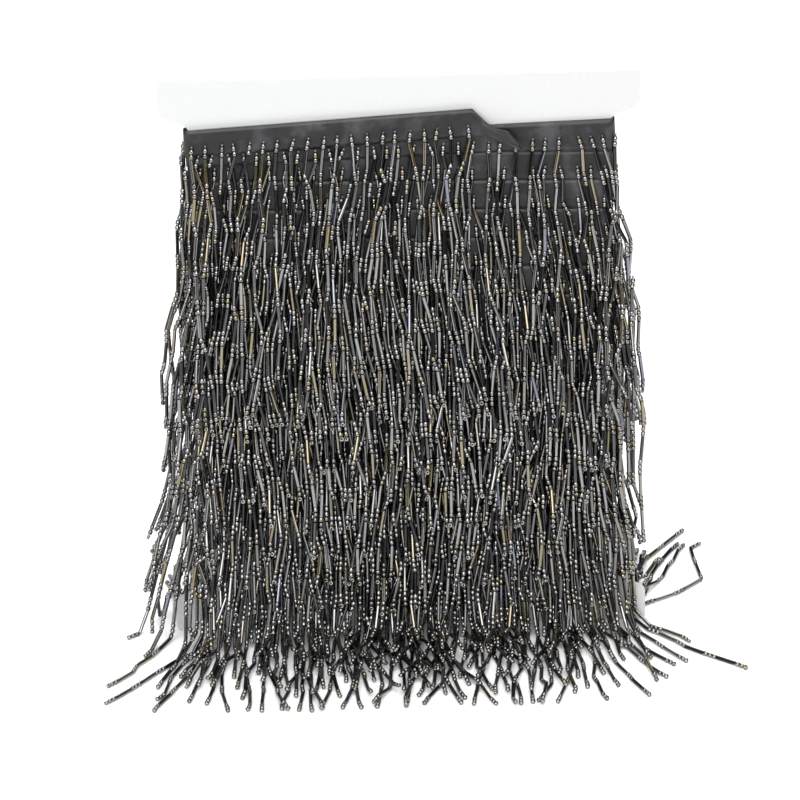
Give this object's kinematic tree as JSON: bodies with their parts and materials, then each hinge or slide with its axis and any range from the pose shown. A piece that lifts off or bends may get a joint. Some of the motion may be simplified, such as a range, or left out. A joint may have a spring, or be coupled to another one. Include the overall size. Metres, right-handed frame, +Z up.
{
  "type": "beaded fringe trim wound on a notched card",
  "caption": "Long satin ribbon with a hanging fringe of bugle and seed beads, wound in many turns round a stiff card with ears that stands upright.",
  "frame": {"origin": "middle of the card's bottom edge, on the surface that it stands on", "axes": "+Z up along the card's height, +X along the card's width to the viewer's right, -Y to the front where the ribbon's folded outer end shows"},
  "size_m": [0.269, 0.1871, 0.275],
  "materials": {
    "board": "smooth white board, matte",
    "satin": "black satin ribbon with a soft sheen",
    "beads": "opaque black pressed and drawn glass beads, polished"
  },
  "bodies": {
    "root": {"card": "board", "ribbon": "satin", "fringe_01": "beads", "fringe_02": "beads", "fringe_03": "beads", "fringe_04": "beads", "fringe_05": "beads", "fringe_06": "beads", "fringe_07": "beads", "fringe_08": "beads", "fringe_09": "beads", "fringe_10": "beads", "fringe_11": "beads", "fringe_12": "beads", "fringe_13": "beads", "fringe_14": "beads", "fringe_15": "beads"}
  },
  "joints": []
}
